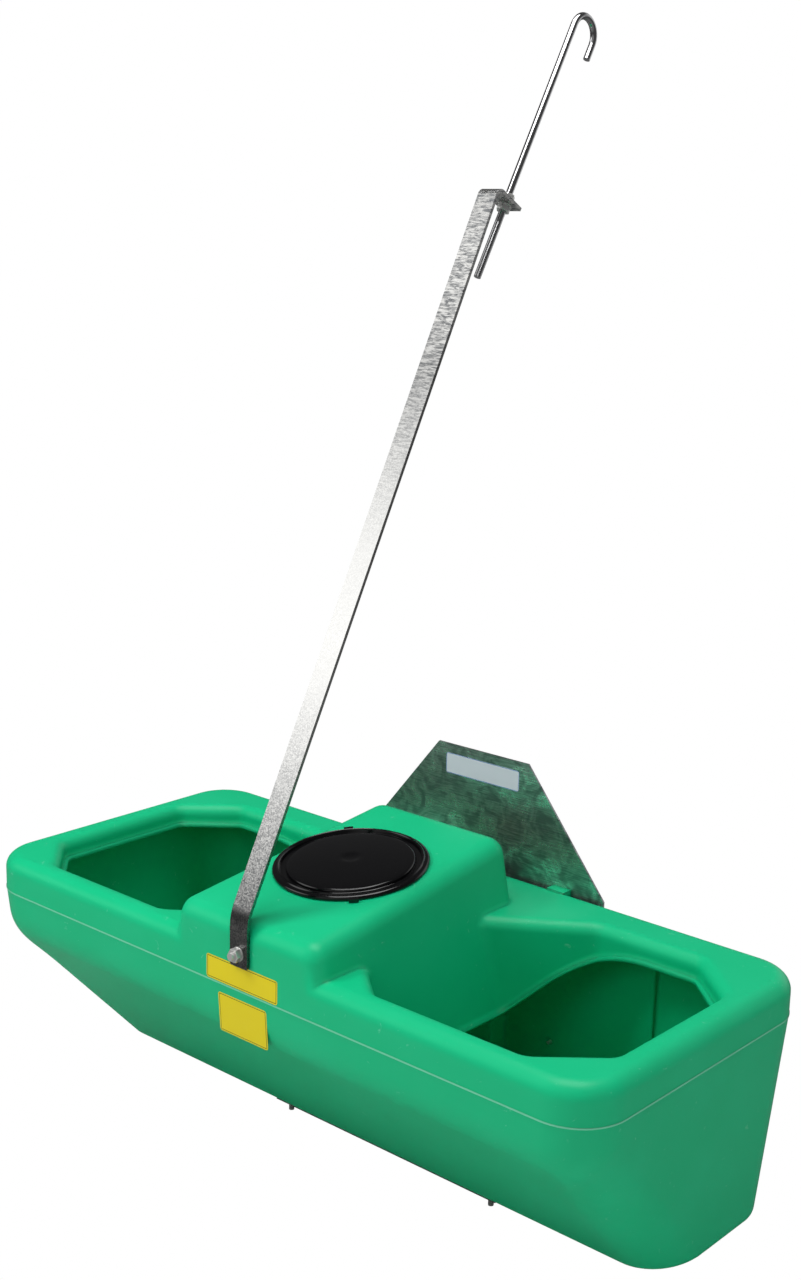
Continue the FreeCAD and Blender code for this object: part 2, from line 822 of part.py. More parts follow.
FRONT_Y = "(-trough_width / 2)"
STRAP_BACK = f"({FRONT_Y} - face_gap)"
STRAP_Y = f"({STRAP_BACK} - strap_thickness)"
CREST_Y = f"({STRAP_Y} + (strap_top - strap_bend_height) * tan(strap_lean))"
END_Y = f"({CREST_Y} + flange_length * cos(rod_lean))"
END_Z = "(strap_top - flange_length * sin(rod_lean))"
UNDER_Y = (f"({CREST_Y} + strap_thickness * (cos(rod_lean) - sin(strap_lean))"
           " / cos(strap_lean - rod_lean))")
UNDER_Z = ("(strap_top - strap_thickness * (cos(strap_lean) + sin(rod_lean))"
           " / cos(strap_lean - rod_lean))")
ROD_Y = f"({CREST_Y} + rod_seat * cos(rod_lean))"
ROD_Z = "(strap_top - rod_seat * sin(rod_lean))"
ROD_TURN = "-rod_lean"


def hanger_strap():
    low_bend = "(strap_bend_height - strap_thickness * tan(strap_lean / 2))"
    bar = padded("StrapBar", "YZ_Plane", [
        (STRAP_Y, "strap_tail"),
        (STRAP_BACK, "strap_tail"),
        (STRAP_BACK, low_bend),
        (UNDER_Y, UNDER_Z),
        (f"{END_Y} - strap_thickness * sin(rod_lean)", f"{END_Z} - strap_thickness * cos(rod_lean)"),
        (END_Y, END_Z),
        (CREST_Y, "strap_top"),
        (STRAP_Y, "strap_bend_height"),
    ], "strap_width")

    def bend(y, z):
        return lambda edge: all(abs(vertex.Y - val(y)) < 0.01 and abs(vertex.Z - val(z)) < 0.01
                                for vertex in edge.Vertexes)

    fillet_body(bar, "StrapCrest", "flange_round + strap_thickness", bend(CREST_Y, "strap_top"))
    fillet_body(bar, "StrapUnder", "flange_round", bend(UNDER_Y, UNDER_Z))
    fillet_body(bar, "StrapBendBack", "strap_bend_round", bend(STRAP_BACK, low_bend))
    fillet_body(bar, "StrapBendFace", "strap_bend_round + strap_thickness",
                bend(STRAP_Y, "strap_bend_height"))
    tail = val("strap_tail")

    def tail_corner(edge):
        upright = [vertex.Z - tail for vertex in edge.Vertexes]
        across = abs(edge.Vertexes[0].Y - edge.Vertexes[-1].Y) > 1
        return across and all(abs(gap) < 0.01 for gap in upright)

    fillet_body(bar, "StrapTailCorners", "strap_corner", tail_corner)
    bolt_hole = cylinder("StrapBoltHole", "strap_bolt_radius + turn_gap", "strap_thickness + 4",
                         "0", f"{FRONT_Y} + 2", "strap_bolt_height", TO_FRONT)
    rod_hole = cylinder("StrapRodHole", "rod_radius + turn_gap", "strap_thickness + 8",
                        "0", f"{ROD_Y} - (strap_thickness + 4) * sin(rod_lean)",
                        f"{ROD_Z} - (strap_thickness + 4) * cos(rod_lean)", ROD_TURN)
    seat(cut("Strap", bar, fuse("StrapHoles", bolt_hole, rod_hole)), "hanger_strap")


hanger_strap()


# Strap bolt: from inside the hump, with a sealing washer under its head and
# a washer and nut over the strap. Heights below run outwards from the head.

def strap_bolt():
    inner = f"{FRONT_Y} + shell_wall"
    shank = cylinder("StrapShank", "strap_bolt_radius",
                     "strap_seal_height + shell_wall + face_gap + strap_thickness"
                     " + strap_washer_height + strap_nut_height + strap_bolt_end")
    head = cylinder("StrapHead", "strap_head_radius", "strap_head_height", z="-strap_head_height")
    seat(fuse("StrapBolt", shank, head), "strap_bolt", "0", f"{inner} + strap_seal_height",
         "strap_bolt_height", TO_FRONT)
    seal = ring("StrapSeal", "strap_seal_radius", "strap_bolt_radius", "strap_seal_height")
    seat(seal, "strap_bolt_seal", "0", f"{inner} + strap_seal_height", "strap_bolt_height", TO_FRONT)
    washer = ring("StrapWasher", "strap_washer_radius", "strap_bolt_radius", "strap_washer_height")
    seat(washer, "strap_washer", "0", STRAP_Y, "strap_bolt_height", TO_FRONT)
    outer = nut("StrapNut", "strap_nut_flats", "strap_nut_height", "strap_bolt_radius")
    seat(outer, "strap_nut", "0", f"{STRAP_Y} - strap_washer_height", "strap_bolt_height", TO_FRONT)


strap_bolt()


# Hook rod: bright plated bar through the strap's flange, bent to a hook, and
# held at the wanted height by a nut and washer on each side of the flange.

def hook_rod():
    leg = cylinder("RodLeg", "rod_radius", "rod_below + rod_above", z="-rod_below")
    bow = doc.addObject("Part::Torus", "RodBow")
    bind(bow, Radius1="hook_radius", Radius2="rod_radius")
    bow.Angle3 = 180
    bow.Placement = Placement(Vector(), Rotation(Vector(0, -1, 0), Vector(0, 0, 1),
                                                 Vector(-1, 0, 0), "ZXY"))
    bow.setExpression("Placement.Base.y", bound("hook_radius"))
    bow.setExpression("Placement.Base.z", bound("rod_above"))
    tip = cylinder("RodTip", "rod_radius", "hook_return", "0", "2 * hook_radius",
                   "rod_above - hook_return")
    seat(fuse("HookRod", leg, bow, tip), "hook_rod", "0", ROD_Y, ROD_Z, ROD_TURN)


def rod_nuts():
    bore = "rod_radius + turn_gap"
    over = nut("RodNutOver", "rod_nut_flats", "rod_nut_height", bore, "rod_washer_height + turn_gap")
    under = nut("RodNutUnder", "rod_nut_flats", "rod_nut_height", bore,
                "-strap_thickness - rod_washer_height - turn_gap - rod_nut_height")
    seat(over, "rod_nut_upper", "0", ROD_Y, ROD_Z, ROD_TURN)
    seat(under, "rod_nut_lower", "0", ROD_Y, ROD_Z, ROD_TURN)
    washer_over = ring("RodWasherOver", "rod_washer_radius", bore, "rod_washer_height")
    washer_under = ring("RodWasherUnder", "rod_washer_radius", bore, "rod_washer_height",
                        "-strap_thickness - rod_washer_height")
    seat(washer_over, "rod_washer_upper", "0", ROD_Y, ROD_Z, ROD_TURN)
    seat(washer_under, "rod_washer_lower", "0", ROD_Y, ROD_Z, ROD_TURN)


hook_rod()
rod_nuts()


# Inspection cover: black ring seated on the hump over a seal, and a domed
# lid that lifts out of it. Both are drawn about the hole's own axis.

HUMP_Z = "(hump_front_height + (cover_y + trough_width / 2) * tan(hump_slope))"
TOP = "(cover_seal_height + ring_thickness)"
LEDGE = f"({TOP} - lid_thickness)"
INSIDE = "(lid_skirt_radius + face_gap)"


def cover(thing, label):
    return seat(thing, label, "0", "cover_y", HUMP_Z, "hump_slope")


def cover_ring():
    rim = turned("CoverRim", [
        (INSIDE, "-ring_depth"),
        ("ring_collar + 2", "-ring_depth"),
        ("ring_collar + 2", "cover_seal_height"),
        ("ring_radius", "cover_seal_height"),
        ("ring_radius", "cover_seal_height + ring_thickness / 3"),
        ("ring_radius - ring_bead", TOP),
        ("ring_bead_radius + ring_bead", TOP),
        ("ring_bead_radius + ring_bead / 2", f"{TOP} + ring_bead"),
        ("ring_bead_radius - ring_bead / 2", f"{TOP} + ring_bead"),
        ("ring_bead_radius - ring_bead", TOP),
        ("ring_bead_radius - 2 * ring_bead", f"{TOP} - ring_bead"),
        ("ring_seat + ring_bead", f"{TOP} - ring_bead"),
        ("ring_seat", TOP),
        ("ring_seat", LEDGE),
        (INSIDE, LEDGE),
    ])
    tabs = []
    for number, turn in enumerate((-45, 135)):
        tab = doc.addObject("Part::Box", f"CoverTab{number}")
        bind(tab, Length="tab_reach * 2", Width="tab_width", Height="ring_thickness / 2")
        tab.Placement = Placement(Vector(0, 0, 0), Rotation(Vector(0, 0, 1), turn))
        across = math.radians(turn)
        start = "(ring_radius - tab_reach)"
        tab.setExpression("Placement.Base.x", bound(
            f"{start} * {math.cos(across):.6f} + tab_width / 2 * {math.sin(across):.6f}"))
        tab.setExpression("Placement.Base.y", bound(
            f"{start} * {math.sin(across):.6f} - tab_width / 2 * {math.cos(across):.6f}"))
        tab.setExpression("Placement.Base.z", bound("cover_seal_height"))
        tabs.append(tab)
    cover(fuse("CoverRing", rim, *tabs), "cover_ring")
    seal = ring("CoverSeal", "ring_bead_radius", "cover_hole_radius", "cover_seal_height")
    cover(seal, "cover_seal")


def cover_lid():
    edge = "(lid_radius)"
    lid = turned("Lid", [
        ("0", f"{LEDGE} + lid_dome - lid_dimple_depth"),
        ("lid_dimple_radius * 0.8", f"{LEDGE} + lid_dome - lid_dimple_depth"),
        ("lid_dimple_radius", f"{LEDGE} + lid_dome"),
        ("lid_skirt_radius / 2", f"{LEDGE} + lid_dome * 0.8"),
        ("lid_skirt_radius - lid_thickness", LEDGE),
        ("lid_skirt_radius - lid_thickness", f"{LEDGE} - lid_skirt"),
        ("lid_skirt_radius", f"{LEDGE} - lid_skirt"),
        ("lid_skirt_radius", LEDGE),
        (edge, LEDGE),
        (edge, f"{LEDGE} + lid_thickness"),
        ("lid_skirt_radius / 2", f"{LEDGE} + lid_thickness + lid_dome * 0.8"),
        ("lid_dimple_radius", f"{LEDGE} + lid_thickness + lid_dome"),
        ("lid_dimple_radius * 0.8", f"{LEDGE} + lid_thickness + lid_dome - lid_dimple_depth"),
        ("0", f"{LEDGE} + lid_thickness + lid_dome - lid_dimple_depth"),
    ])
    cover(lid, "cover_lid")


cover_ring()
cover_lid()


# Float valve: inlet through the hump's back wall, a plunger that closes on
# the nozzle, and a lever with its float. Heights here run forward from the
# outside of the wall.

VALVE_END = "(shell_wall + inlet_seal_height + valve_flange + valve_length)"
NOZZLE = "(shell_wall + inlet_seal_height + valve_flange + plunger_length)"
NOSE_START = f"({VALVE_END} + face_gap * 11)"
PIVOT_Y = f"(hump_back - {VALVE_END} + arm_height * 0.75)"
PIVOT_Z = "(inlet_height - pivot_drop)"


def valve(thing, label):
    return seat(thing, label, "0", "hump_back", "inlet_height", TO_FRONT)


def valve_body():
    stub = cylinder("InletStub", "inlet_radius", "inlet_length + shell_wall + inlet_seal_height + 1",
                    z="-inlet_length")
    flange = cylinder("InletFlange", "valve_flange_radius", "valve_flange",
                      z="shell_wall + inlet_seal_height")
    barrel = cylinder("ValveBarrel", "valve_radius", "valve_flange + valve_length",
                      z="shell_wall + inlet_seal_height")
    solid = fuse("ValveSolid", stub, flange, barrel)
    bore = cylinder("InletBore", "inlet_bore", f"inlet_length + {NOZZLE} - 8", z="-inlet_length - 1")
    jet = cylinder("NozzleBore", "pivot_radius", "12", z=f"{NOZZLE} - 10")
    guide = cylinder("PlungerBore", "plunger_radius + turn_gap", f"{VALVE_END} - {NOZZLE} + 1",
                     z=NOZZLE)
    barrel_cut = cut("ValveBored", solid, fuse("ValveBores", bore, jet, guide))
    ears = []
    for number, side in enumerate(("-", "")):
        ear = block(f"Ear{number}", "ear_width", "ear_width * 3", "pivot_drop - valve_radius * 0.45",
                    f"{side}(ear_gap + ear_width) / 2", f"{PIVOT_Y} - ear_width * 1.5 - hump_back",
                    f"{PIVOT_Z} - inlet_height - ear_width * 1.5")
        ears.append(ear)
    pin_hole = crossbar("EarHole", "pivot_radius", "ear_gap + 2 * ear_width + 2",
                        f"{PIVOT_Y} - hump_back", f"{PIVOT_Z} - inlet_height")
    turned_back = doc.addObject("Part::Compound", "ValveTurned")
    turned_back.Links = [barrel_cut]
    place(turned_back, turn=TO_FRONT)
    solid = cut("ValveEared", fuse("ValveJoined", turned_back, *ears), pin_hole)
    seat(solid, "valve_body", "0", "hump_back", "inlet_height")


def inlet_fittings():
    inner = ring("InletSealInner", "valve_flange_radius", "inlet_radius", "inlet_seal_height",
                 "shell_wall")
    valve(inner, "inlet_seal_inner")
    outer = ring("InletSealOuter", "valve_flange_radius", "inlet_radius", "inlet_seal_height",
                 "-inlet_seal_height")
    valve(outer, "inlet_seal_outer")
    lock = nut("InletLockNut", "lock_nut_flats", "lock_nut_height", "inlet_radius",
               "-inlet_seal_height - lock_nut_height")
    valve(lock, "inlet_lock_nut")


def plunger():
    open_at = f"({NOZZLE} + plunger_travel + face_gap)"
    pad = cylinder("PadDisc", "plunger_radius - face_gap", "pad_height", z=open_at)
    valve(pad, "plunger_pad")
    slug = cylinder("PlungerSlug", "plunger_radius", "plunger_length - pad_height - 3",
                    z=f"{open_at} + pad_height")
    nose = cylinder("PlungerNose", "pivot_radius",
                    f"hump_back - {PIVOT_Y} + cam_offset - face_gap * 2 + plunger_travel"
                    f" - {open_at} - pad_height", z=f"{open_at} + pad_height")
    valve(fuse("Plunger", slug, nose), "valve_plunger")


def float_lever():
    boss = crossbar("LeverBoss", "arm_height * 0.75", "arm_width")
    bar = block("LeverBar", "arm_width", "arm_length", "arm_height", "0", "-arm_length",
                "-arm_height / 2")
    cam = block("LeverCam", "arm_width / 2", "arm_height * 0.75", "pivot_drop + 5",
                "0", "-cam_offset - arm_height * 0.75", "0")
    stem = cylinder("LeverStem", "stem_radius", "stem_length + float_height + float_nut_height + 4",
                    "0", "-arm_length + arm_width / 2",
                    "-stem_length - float_height - float_nut_height - 4")
    eye = crossbar("LeverEye", "pivot_radius + turn_gap", "arm_width + 2")
    lever = cut("Lever", fuse("LeverSolid", boss, bar, cam, stem), eye)
    lever_piece(lever, "float_arm")
    shape = ring("FloatBody", "float_radius", "stem_radius", "float_height", "-stem_length - float_height")
    shape_round = place(shape, "0", "-arm_length + arm_width / 2")
    group_float = doc.addObject("Part::Compound", "FloatPlaced")
    group_float.Links = [shape_round]
    lever_piece(group_float, "float_ball")
    stop = nut("FloatNut", "float_nut_flats", "float_nut_height", "stem_radius",
               "-stem_length - float_height - float_nut_height")
    place(stop, "0", "-arm_length + arm_width / 2")
    group_nut = doc.addObject("Part::Compound", "FloatNutPlaced")
    group_nut.Links = [stop]
    lever_piece(group_nut, "float_nut")


def lever_piece(thing, label):
    """The lever hangs by arm_fall below the level at which it shuts the valve."""
    return seat(thing, label, "0", PIVOT_Y, PIVOT_Z, "arm_fall")


def pivot_pin():
    pin = crossbar("PivotPin", "pivot_radius", "ear_gap + 2 * ear_width + 4")
    holder = doc.addObject("Part::Compound", "PivotPinPlaced")
    holder.Links = [pin]
    seat(holder, "pivot_pin", "0", PIVOT_Y, PIVOT_Z)


valve_body()
inlet_fittings()
plunger()
float_lever()
pivot_pin()


# Drain: a bush clamped in the floor of the left bay, and the cap that closes it.

def drain():
    neck = cylinder("DrainNeck", "drain_radius",
                    "drain_flange + drain_seal_height + shell_wall + drain_nut_height + drain_cap_height",
                    z="-drain_nut_height - drain_cap_height")
    lip = cylinder("DrainLip", "drain_flange_radius", "drain_flange", z="shell_wall + drain_seal_height")
    throat = cylinder("DrainThroat", "drain_radius - 3", "60", z="-30")
    seat(cut("DrainBush", fuse("DrainBushSolid", neck, lip), throat), "drain_bush",
         "drain_x", "drain_y", FLOOR_Z)
    seal = ring("DrainSeal", "drain_flange_radius", "drain_radius", "drain_seal_height", "shell_wall")
    seat(seal, "drain_seal", "drain_x", "drain_y", FLOOR_Z)
    clamp = nut("DrainNut", "drain_nut_radius * sqrt(3)", "drain_nut_height", "drain_radius",
                "-drain_nut_height")
    seat(clamp, "drain_nut", "drain_x", "drain_y", FLOOR_Z)
    cup = cylinder("DrainCup", "drain_cap_radius", "drain_cap_height",
                   z="-drain_nut_height - face_gap - drain_cap_height - 2")
    hollow = cylinder("DrainCupHollow", "drain_radius + turn_gap", "drain_cap_height",
                      z="-drain_nut_height - drain_cap_height")
    seat(cut("DrainCap", cup, hollow), "drain_cap", "drain_x", "drain_y", FLOOR_Z)


drain()


# Labels: thin film on the front face and on the support plate.

def labels():
    upper = block("UpperLabel", "brand_label_width", "label_thickness", "brand_label_height",
                  "0", f"{FRONT_Y} - label_thickness", "brand_label_low")
    seat(group("UpperLabelPlaced", [upper]), "front_label_upper")
    lower = block("LowerLabel", "notice_label_width", "label_thickness", "notice_label_height")
    lean = "atan(front_draft / body_depth)"
    holder = group("LowerLabelPlaced", [place(lower, "-notice_label_width / 2",
                   "-label_thickness", "notice_label_low - seam_band")])
    seat(holder, "front_label_lower", "0", FRONT_Y, "0", lean)
    rear = block("PlateLabel", "plate_label_width", "label_thickness", "plate_label_height",
                 "0", f"{FACE_Y} - label_thickness", "plate_label_low")
    seat(group("PlateLabelPlaced", [rear]), "plate_label")


labels()


# Check every piece, then write it.

doc.recompute()
for thing in doc.Objects:
    if "Invalid" in thing.State or "Error" in thing.State:
        raise RuntimeError(f"{thing.Name} is {thing.State}")
for piece in pieces:
    if piece.Shape.isNull() or not piece.Shape.isValid() or not piece.Shape.Solids:
        raise RuntimeError(f"{piece.Label} has no valid solid")
os.makedirs("parts", exist_ok=True)
for piece in pieces:
    piece.Shape.exportStep(f"parts/{piece.Label}.step")
    box = piece.Shape.BoundBox
    print(piece.Label, len(piece.Shape.Solids), round(piece.Shape.Volume), box)
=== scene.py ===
import math

import bmesh
import bpy
from mathutils import Matrix, Vector


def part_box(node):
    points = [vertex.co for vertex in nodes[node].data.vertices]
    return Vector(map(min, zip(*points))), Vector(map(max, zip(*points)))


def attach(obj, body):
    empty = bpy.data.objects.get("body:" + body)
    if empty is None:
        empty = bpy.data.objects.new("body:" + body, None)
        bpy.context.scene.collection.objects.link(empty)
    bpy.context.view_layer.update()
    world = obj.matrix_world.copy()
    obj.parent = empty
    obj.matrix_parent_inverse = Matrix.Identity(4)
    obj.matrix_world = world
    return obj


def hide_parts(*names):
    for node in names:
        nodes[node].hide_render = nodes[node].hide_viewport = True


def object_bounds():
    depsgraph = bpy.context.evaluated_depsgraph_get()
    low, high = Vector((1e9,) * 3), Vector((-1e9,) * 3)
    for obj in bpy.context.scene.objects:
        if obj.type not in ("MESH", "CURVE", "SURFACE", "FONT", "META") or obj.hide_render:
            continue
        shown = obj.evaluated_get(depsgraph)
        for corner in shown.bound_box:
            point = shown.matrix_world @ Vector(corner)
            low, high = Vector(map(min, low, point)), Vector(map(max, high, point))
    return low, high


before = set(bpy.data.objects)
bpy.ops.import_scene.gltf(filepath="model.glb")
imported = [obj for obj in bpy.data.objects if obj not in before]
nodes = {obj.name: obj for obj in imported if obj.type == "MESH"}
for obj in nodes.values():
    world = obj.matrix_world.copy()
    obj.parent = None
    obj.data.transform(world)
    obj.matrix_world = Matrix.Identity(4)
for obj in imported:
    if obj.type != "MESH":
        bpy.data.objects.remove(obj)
cad_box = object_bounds()
scene = bpy.context.scene

# Studio: white all round and a white floor. A key lamp stands high on the left in
# front, a weaker one straight ahead, a wide one overhead and a weak fill on the
# right. Metal mirrors a dim room with three soft glows in it.

floor_level = cad_box[0].z
backdrop_white = (1.0, 1.0, 1.0, 1.0)
sky_light = 0.36
room_in_gloss = 0.07
glows_in_gloss = (
    # heading, cosine at its edge and at its full strength, strength
    ((-0.66, -0.60, 0.46), 0.93, 1.0, 1.83),
    ((0.10, -0.88, 0.46), 0.74, 0.98, 0.3),
    ((0.10, 0.99, 0.10), 0.78, 0.98, 0.7),
)
floor_tone = 0.8
floor_in_gloss = 0.18
floor_whitening = 1.0
camera_place = (1.52794, -1.91869, 0.95444)
camera_heading = 41.473
camera_dip = 13.068
camera_roll = 1.302
lens_length = 49.107

world = bpy.data.worlds.new("studio")
scene.world = world
world.use_nodes = True
tree = world.node_tree
tree.nodes.clear()
rays = tree.nodes.new("ShaderNodeLightPath")
shown = tree.nodes.new("ShaderNodeBackground")
shown.inputs["Color"].default_value = backdrop_white
shown.inputs["Strength"].default_value = 1.0
reflected = tree.nodes.new("ShaderNodeBackground")
reflected.inputs["Color"].default_value = backdrop_white
direction = tree.nodes.new("ShaderNodeTexCoord")
brightness = tree.nodes.new("ShaderNodeValue").outputs["Value"]
brightness.default_value = room_in_gloss
for heading, edge_cosine, full_cosine, strength in glows_in_gloss:
    facing = tree.nodes.new("ShaderNodeVectorMath")
    facing.operation = "DOT_PRODUCT"
    facing.inputs[1].default_value = heading
    glow = tree.nodes.new("ShaderNodeMapRange")
    glow.interpolation_type = "SMOOTHSTEP"
    glow.inputs["From Min"].default_value = edge_cosine
    glow.inputs["From Max"].default_value = full_cosine
    glow.inputs["To Max"].default_value = strength
    added = tree.nodes.new("ShaderNodeMath")
    tree.links.new(direction.outputs["Generated"], facing.inputs[0])
    tree.links.new(facing.outputs["Value"], glow.inputs["Value"])
    tree.links.new(brightness, added.inputs[0])
    tree.links.new(glow.outputs["Result"], added.inputs[1])
    brightness = added.outputs["Value"]
tree.links.new(brightness, reflected.inputs["Strength"])
lit = tree.nodes.new("ShaderNodeBackground")
lit.inputs["Color"].default_value = backdrop_white
lit.inputs["Strength"].default_value = sky_light
gloss_mix = tree.nodes.new("ShaderNodeMixShader")
view_mix = tree.nodes.new("ShaderNodeMixShader")
out = tree.nodes.new("ShaderNodeOutputWorld")
tree.links.new(rays.outputs["Is Glossy Ray"], gloss_mix.inputs["Fac"])
tree.links.new(lit.outputs["Background"], gloss_mix.inputs[1])
tree.links.new(reflected.outputs["Background"], gloss_mix.inputs[2])
tree.links.new(rays.outputs["Is Camera Ray"], view_mix.inputs["Fac"])
tree.links.new(gloss_mix.outputs["Shader"], view_mix.inputs[1])
tree.links.new(shown.outputs["Background"], view_mix.inputs[2])
tree.links.new(view_mix.outputs["Shader"], out.inputs["Surface"])

floor_paint = bpy.data.materials.new("floor_paint")
floor_paint.use_nodes = True
tree = floor_paint.node_tree
tree.nodes.clear()
rays = tree.nodes.new("ShaderNodeLightPath")
paint = tree.nodes.new("ShaderNodeBsdfDiffuse")
tone = tree.nodes.new("ShaderNodeMix")
tone.data_type = "RGBA"
tone.inputs["A"].default_value = (floor_tone, floor_tone, floor_tone, 1.0)
tone.inputs["B"].default_value = (floor_in_gloss, floor_in_gloss, floor_in_gloss, 1.0)
tree.links.new(rays.outputs["Is Glossy Ray"], tone.inputs["Factor"])
tree.links.new(tone.outputs["Result"], paint.inputs["Color"])
glow = tree.nodes.new("ShaderNodeEmission")
glow.inputs["Color"].default_value = backdrop_white
amount = tree.nodes.new("ShaderNodeMath")
amount.operation = "MULTIPLY"
amount.inputs[1].default_value = floor_whitening
mix = tree.nodes.new("ShaderNodeMixShader")
out = tree.nodes.new("ShaderNodeOutputMaterial")
tree.links.new(rays.outputs["Is Camera Ray"], amount.inputs[0])
tree.links.new(amount.outputs["Value"], mix.inputs["Fac"])
tree.links.new(paint.outputs["BSDF"], mix.inputs[1])
tree.links.new(glow.outputs["Emission"], mix.inputs[2])
tree.links.new(mix.outputs["Shader"], out.inputs["Surface"])

floor_mesh = bpy.data.meshes.new("floor")
ground = bmesh.new()
bmesh.ops.create_grid(ground, x_segments=1, y_segments=1, size=12)
bmesh.ops.translate(ground, verts=ground.verts, vec=(0, 0, floor_level))
ground.to_mesh(floor_mesh)
ground.free()
floor = bpy.data.objects.new("floor", floor_mesh)
scene.collection.objects.link(floor)
floor_mesh.materials.append(floor_paint)


def soft_lamp(name, place, target, width, height, power, mirrored):
    lamp = bpy.data.lights.new(name, "AREA")
    lamp.shape = "RECTANGLE"
    lamp.size = width
    lamp.size_y = height
    lamp.energy = power
    holder = bpy.data.objects.new(name, lamp)
    scene.collection.objects.link(holder)
    holder.location = place
    aim = Vector(target) - Vector(place)
    holder.rotation_euler = aim.to_track_quat("-Z", "Y").to_euler()
    holder.visible_glossy = mirrored


soft_lamp("key_lamp", (-1.5, -2.1, 2.3), (0.1, -0.25, 0), 1.0, 0.8, 48, False)
soft_lamp("front_lamp", (0.3, -2.9, 1.5), (0.1, -0.25, -0.05), 1.4, 1.0, 9, False)
soft_lamp("top_lamp", (0.1, -0.4, 3.0), (0, -0.25, 0), 2.2, 1.8, 60, True)
soft_lamp("fill_lamp", (2.6, -0.9, 0.9), (0.3, -0.25, -0.1), 1.4, 1.4, 5, False)

camera_data = bpy.data.cameras.new("camera")
camera_data.lens = lens_length
camera_data.sensor_width = 36
camera = bpy.data.objects.new("camera", camera_data)
scene.collection.objects.link(camera)
camera.matrix_world = (
    Matrix.Translation(camera_place)
    @ Matrix.Rotation(math.radians(camera_heading), 4, "Z")
    @ Matrix.Rotation(math.radians(90 - camera_dip), 4, "X")
    @ Matrix.Rotation(math.radians(camera_roll), 4, "Z")
)
scene.camera = camera
scene.view_settings.view_transform = "Standard"


# Trough shell: one hollow rotomoulding in green polyethylene. The mould gives
# it a soft satin skin with a faint grain, and its edges are all a little soft.
# The two halves of the solid are joined here into the one skin that they are.

shell_green = (0.003, 0.45, 0.195)
shell_worn_green = (0.012, 0.50, 0.24)
# Pale green of the scuffs, also used for the painted highlight along the parting line.
scuff_and_seam_highlight_green = (0.16, 0.60, 0.38)
shell_rough = 0.36
edge_softness = 0.011
grain_size = 0.0016
grain_height = 0.00012
# Width of the pale band painted along the parting line as a painted highlight over the shadow under
# its ridge.
seam_line_height = 0.0022
past_end_walls = 0.515
past_front_wall = -0.455


def finish_of(name, colour, rough, metal=0.0, coat=0.0):
    paint = bpy.data.materials.new(name)
    paint.use_nodes = True
    surface = paint.node_tree.nodes["Principled BSDF"]
    surface.inputs["Base Color"].default_value = (*colour, 1.0)
    surface.inputs["Roughness"].default_value = rough
    surface.inputs["Metallic"].default_value = metal
    surface.inputs["Coat Weight"].default_value = coat
    return paint


def dressed(name, *from_nodes, crease=30.0):
    """One piece from copies of CAD nodes, its triangles joined and its rounds smooth."""
    skin = bmesh.new()
    for node in from_nodes:
        skin.from_mesh(nodes[node].data)
    bmesh.ops.remove_doubles(skin, verts=skin.verts, dist=1e-5)
    for face in skin.faces:
        face.smooth = True
    for edge in skin.edges:
        edge.smooth = len(edge.link_faces) == 2 and edge.calc_face_angle(0) < math.radians(crease)
    mesh = bpy.data.meshes.new(name)
    skin.to_mesh(mesh)
    skin.free()
    piece = bpy.data.objects.new(name, mesh)
    scene.collection.objects.link(piece)
    evened = piece.modifiers.new("evened", "WEIGHTED_NORMAL")
    evened.keep_sharp = True
    evened.weight = 50
    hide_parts(*from_nodes)
    return piece


shell_skin = finish_of("shell_skin", shell_green, shell_rough)
tree = shell_skin.node_tree
surface = tree.nodes["Principled BSDF"]
surface.inputs["Specular IOR Level"].default_value = 0.26
place = tree.nodes.new("ShaderNodeTexCoord")
wear = tree.nodes.new("ShaderNodeTexNoise")
wear.inputs["Scale"].default_value = 9.0
wear.inputs["Detail"].default_value = 5.0
wear_amount = tree.nodes.new("ShaderNodeMapRange")
wear_amount.inputs["From Min"].default_value = 0.45
wear_amount.inputs["From Max"].default_value = 0.75
wear_amount.inputs["To Max"].default_value = 0.35
tint = tree.nodes.new("ShaderNodeMix")
tint.data_type = "RGBA"
tint.inputs["A"].default_value = (*shell_green, 1.0)
tint.inputs["B"].default_value = (*shell_worn_green, 1.0)
scuff = tree.nodes.new("ShaderNodeTexNoise")
scuff.inputs["Scale"].default_value = 75.0
scuff.inputs["Detail"].default_value = 7.0
scuff.inputs["Roughness"].default_value = 0.6
scuff.inputs["Distortion"].default_value = 0.8
scuff_amount = tree.nodes.new("ShaderNodeMapRange")
scuff_amount.inputs["From Min"].default_value = 0.66
scuff_amount.inputs["From Max"].default_value = 0.72
scuff_amount.inputs["To Max"].default_value = 0.5
scuffed = tree.nodes.new("ShaderNodeMix")
scuffed.data_type = "RGBA"
scuffed.inputs["B"].default_value = (*scuff_and_seam_highlight_green, 1.0)
# Painted highlight: a pale line along the parting line on the outer faces, lightening the shadow
# under its ridge.
height_of = tree.nodes.new("ShaderNodeSeparateXYZ")
at_seam = tree.nodes.new("ShaderNodeMath")
at_seam.operation = "COMPARE"
at_seam.inputs[1].default_value = 0.0
at_seam.inputs[2].default_value = seam_line_height / 2
from_middle = tree.nodes.new("ShaderNodeMath")
from_middle.operation = "ABSOLUTE"
past_ends = tree.nodes.new("ShaderNodeMath")
past_ends.operation = "GREATER_THAN"
past_ends.inputs[1].default_value = past_end_walls
past_front = tree.nodes.new("ShaderNodeMath")
past_front.operation = "LESS_THAN"
past_front.inputs[1].default_value = past_front_wall
outside = tree.nodes.new("ShaderNodeMath")
outside.operation = "MAXIMUM"
seam_highlight_mask = tree.nodes.new("ShaderNodeMath")
seam_highlight_mask.operation = "MULTIPLY"
with_seam_highlight = tree.nodes.new("ShaderNodeMix")
with_seam_highlight.data_type = "RGBA"
